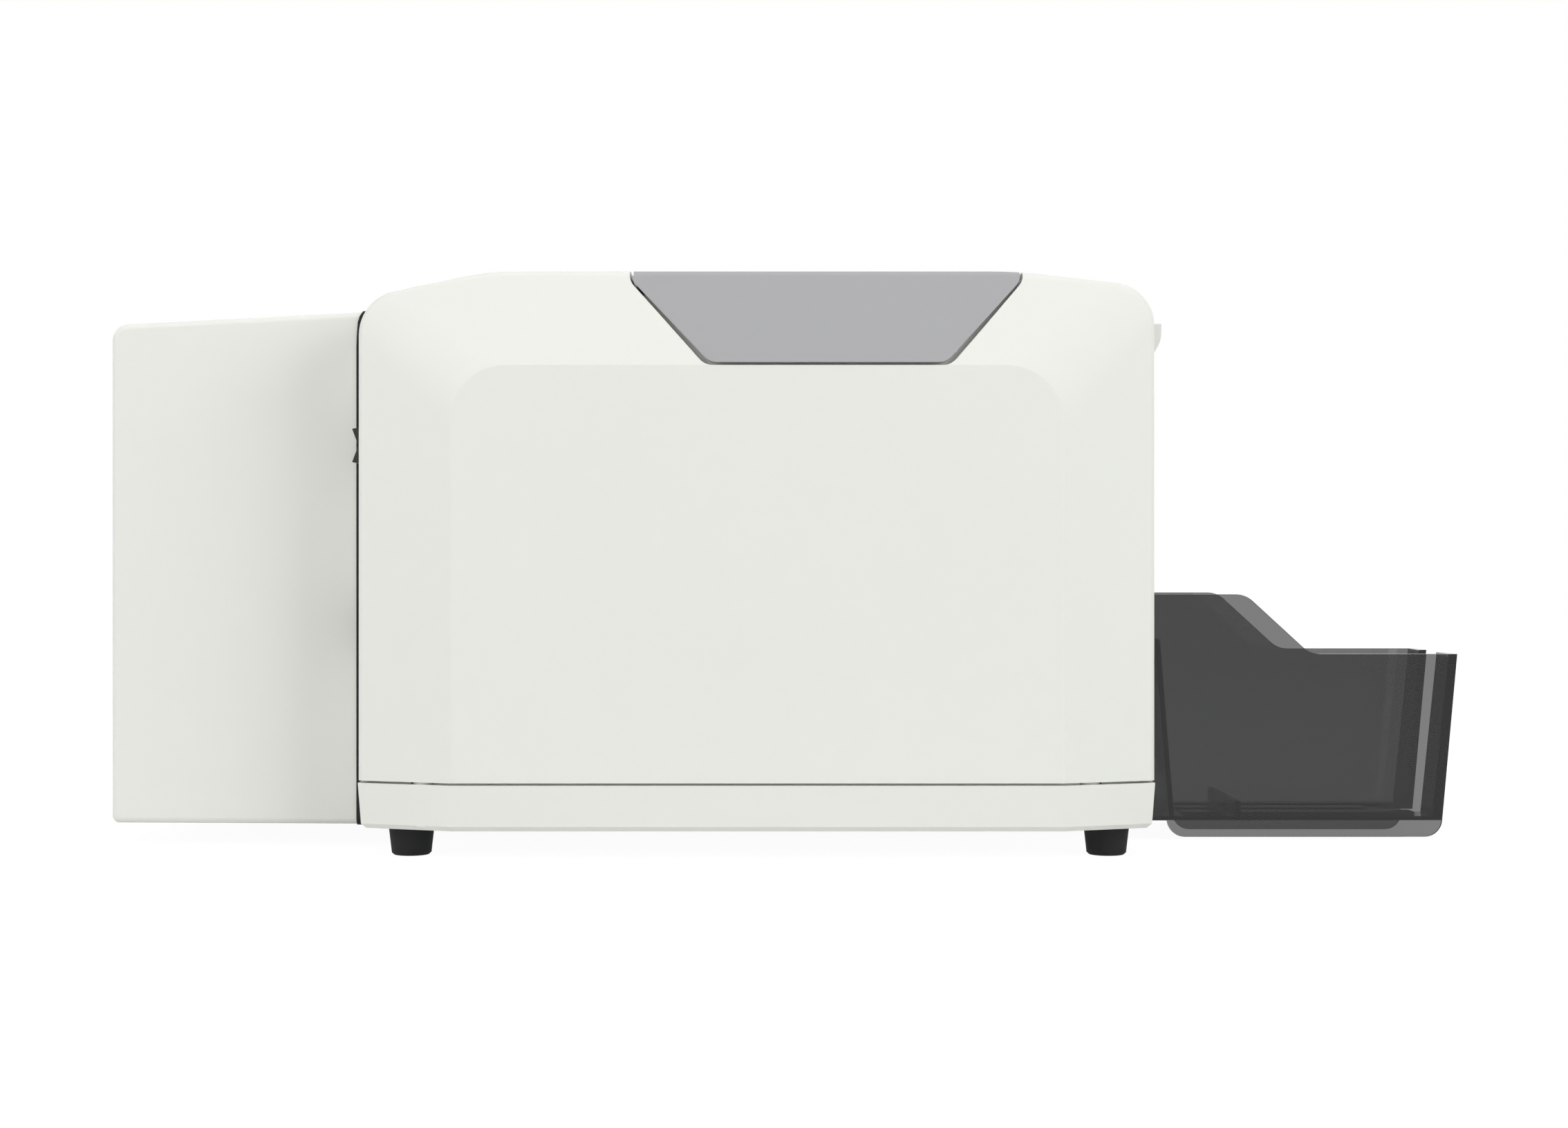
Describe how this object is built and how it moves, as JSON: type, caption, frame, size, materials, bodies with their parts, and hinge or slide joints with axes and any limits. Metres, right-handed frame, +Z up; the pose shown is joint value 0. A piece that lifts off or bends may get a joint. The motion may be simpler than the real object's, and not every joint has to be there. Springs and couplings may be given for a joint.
{
  "type": "id card printer",
  "caption": "Desktop card printer: off-white casing with slanted side facets, gray hinged top lid, rear card turning module, smoke output tray, feeder door, rollers, gears and ribbon inside",
  "frame": {"origin": "centre of the bounding box in plan, at the underside of the feet", "axes": "+X towards the front with the output tray, +Y towards the side with the gear train, +Z up"},
  "size_m": [0.531, 0.205, 0.2196],
  "materials": {
    "casing": "satin off-white moulding",
    "lid_gray": "satin mid gray moulding",
    "smoke": "smoke tinted translucent plastic",
    "clear": "dark clear window",
    "black": "fine textured black moulding",
    "keys": "gray keys",
    "foot_rubber": "matt dark rubber",
    "steel": "ground steel",
    "sheet_metal": "zinc plated sheet",
    "aluminium": "extruded aluminium",
    "gear_plastic": "natural gear plastic",
    "brass": "machined brass and sintered bronze",
    "motor_black": "black motor casing",
    "board_green": "solder mask",
    "ribbon": "dark dye film"
  },
  "bodies": {
    "base": {"base_pan": "casing", "body_shell": "casing", "card_guide": "black", "chassis_far": "sheet_metal", "chassis_near": "sheet_metal", "data_ports": "steel", "display_lenses": "clear", "drive_motor": "motor_black", "fan_frame": "black", "flipper_cover": "casing", "flipper_frame": "sheet_metal", "flipper_motor": "motor_black", "front_bezel": "casing", "hinge_pins": "steel", "input_hopper": "black", "key_board": "board_green", "main_board": "board_green", "panel_screws": "steel", "power_inlet": "black", "power_supply": "sheet_metal", "rear_panel": "casing", "ribbon_cassette": "black", "ribbon_web": "ribbon", "rubber_feet": "foot_rubber", "shaft_bushes": "brass", "switch_housing": "black", "tie_bars": "steel", "transport_belt": "foot_rubber", "tray_bracket": "black"},
    "lid": {"top_lid": "lid_gray"},
    "door": {"feeder_door": "casing"},
    "tray": {"output_tray": "smoke"},
    "pusher": {"card_pusher": "keys"},
    "head": {"print_head": "aluminium"},
    "upper_key": {"upper_button": "keys"},
    "middle_key": {"middle_button": "keys"},
    "lower_key": {"lower_button": "keys"},
    "rocker": {"power_rocker": "black"},
    "rotor": {"flipper_rotor": "black", "flipper_gear": "gear_plastic"},
    "rotor_pinion": {"flipper_pinion": "gear_plastic"},
    "nip_drive": {"flipper_drive_roller": "foot_rubber"},
    "nip_pinch": {"flipper_pinch_roller": "foot_rubber"},
    "exit": {"exit_roller": "foot_rubber", "exit_shaft": "steel"},
    "infeed": {"infeed_roller": "foot_rubber", "infeed_shaft": "steel"},
    "platen": {"platen_roller": "foot_rubber", "platen_shaft": "steel", "platen_gear": "gear_plastic"},
    "rear": {"rear_roller": "foot_rubber", "rear_shaft": "steel"},
    "back": {"back_roller": "foot_rubber", "back_shaft": "steel"},
    "idler": {"idler_gear": "gear_plastic"},
    "motor_drive": {"motor_pinion": "brass"},
    "pick": {"pick_roller": "foot_rubber"},
    "supply": {"supply_roll": "ribbon"},
    "takeup": {"takeup_roll": "ribbon"},
    "fan": {"fan_wheel": "black"}
  },
  "joints": [
    {"name": "lid_hinge", "type": "hinge", "parent": "base", "child": "lid", "pos_m": [-0.0579, 0, 0.2175], "axis": [0, -1, 0], "range_deg": [0, 95]},
    {"name": "door_hinge", "type": "hinge", "parent": "base", "child": "door", "pos_m": [0.1312, 0, 0.1214], "axis": [0, 1, 0], "range_deg": [0, 90]},
    {"name": "tray_lift", "type": "slide", "parent": "base", "child": "tray", "axis": [0, 0, 1], "range_m": [0, 0.009]},
    {"name": "pusher_slide", "type": "slide", "parent": "base", "child": "pusher", "axis": [0, 0, 1], "range_m": [0, 0.055]},
    {"name": "head_lift", "type": "slide", "parent": "base", "child": "head", "axis": [0, 0, 1], "range_m": [0, 0.004]},
    {"name": "upper_press", "type": "slide", "parent": "base", "child": "upper_key", "axis": [-1, 0, 0], "range_m": [0, 0.0006], "stiffness_N_per_m": 400},
    {"name": "middle_press", "type": "slide", "parent": "base", "child": "middle_key", "axis": [-1, 0, 0], "range_m": [0, 0.0006], "stiffness_N_per_m": 400},
    {"name": "lower_press", "type": "slide", "parent": "base", "child": "lower_key", "axis": [-1, 0, 0], "range_m": [0, 0.0006], "stiffness_N_per_m": 400},
    {"name": "power_switch", "type": "hinge", "parent": "base", "child": "rocker", "pos_m": [-0.157, -0.074, 0.15485], "axis": [0, 1, 0], "range_deg": [-8, 8]},
    {"name": "rotor_turn", "type": "hinge", "parent": "base", "child": "rotor", "pos_m": [-0.21425, 0, 0.108], "axis": [0, 1, 0], "continuous": true},
    {"name": "rotor_pinion_spin", "type": "hinge", "parent": "base", "child": "rotor_pinion", "pos_m": [-0.21425, 0, 0.08675], "axis": [0, 1, 0], "continuous": true},
    {"name": "nip_drive_spin", "type": "hinge", "parent": "rotor", "child": "nip_drive", "pos_m": [-0.21425, 0, 0.1016], "axis": [0, 1, 0], "continuous": true},
    {"name": "nip_pinch_spin", "type": "hinge", "parent": "rotor", "child": "nip_pinch", "pos_m": [-0.21425, 0, 0.1144], "axis": [0, 1, 0], "continuous": true},
    {"name": "platen_spin", "type": "hinge", "parent": "base", "child": "platen", "pos_m": [-0.012, 0, 0.1006], "axis": [0, 1, 0], "continuous": true},
    {"name": "exit_spin", "type": "hinge", "parent": "base", "child": "exit", "pos_m": [0.106, 0, 0.1006], "axis": [0, 1, 0], "continuous": true},
    {"name": "infeed_spin", "type": "hinge", "parent": "base", "child": "infeed", "pos_m": [0.036, 0, 0.1006], "axis": [0, 1, 0], "continuous": true},
    {"name": "rear_spin", "type": "hinge", "parent": "base", "child": "rear", "pos_m": [-0.076, 0, 0.1006], "axis": [0, 1, 0], "continuous": true},
    {"name": "back_spin", "type": "hinge", "parent": "base", "child": "back", "pos_m": [-0.14, 0, 0.1006], "axis": [0, 1, 0], "continuous": true},
    {"name": "idler_spin", "type": "hinge", "parent": "base", "child": "idler", "pos_m": [0.004, 0, 0.08238], "axis": [0, 1, 0], "continuous": true},
    {"name": "motor_spin", "type": "hinge", "parent": "base", "child": "motor_drive", "pos_m": [0.01407, 0, 0.07093], "axis": [0, 1, 0], "continuous": true},
    {"name": "pick_spin", "type": "hinge", "parent": "base", "child": "pick", "pos_m": [0.07, 0, 0.1178], "axis": [0, 1, 0], "continuous": true},
    {"name": "supply_spin", "type": "hinge", "parent": "base", "child": "supply", "pos_m": [-0.04, 0, 0.158], "axis": [0, 1, 0], "continuous": true},
    {"name": "takeup_spin", "type": "hinge", "parent": "base", "child": "takeup", "pos_m": [0.017, 0, 0.158], "axis": [0, 1, 0], "continuous": true},
    {"name": "fan_spin", "type": "hinge", "parent": "base", "child": "fan", "pos_m": [-0.1525, 0.072, 0.15], "axis": [1, 0, 0], "continuous": true}
  ],
  "couplings": [
    {"joint": "rotor_pinion_spin", "follows": "rotor_turn", "ratio": -2.5},
    {"joint": "nip_pinch_spin", "follows": "nip_drive_spin", "ratio": -1},
    {"joint": "idler_spin", "follows": "platen_spin", "ratio": -1.6667},
    {"joint": "motor_spin", "follows": "platen_spin", "ratio": 2.5},
    {"joint": "takeup_spin", "follows": "supply_spin", "ratio": 1.4},
    {"joint": "exit_spin", "follows": "platen_spin", "ratio": 1},
    {"joint": "infeed_spin", "follows": "platen_spin", "ratio": 1},
    {"joint": "rear_spin", "follows": "platen_spin", "ratio": 1},
    {"joint": "back_spin", "follows": "platen_spin", "ratio": 1}
  ]
}
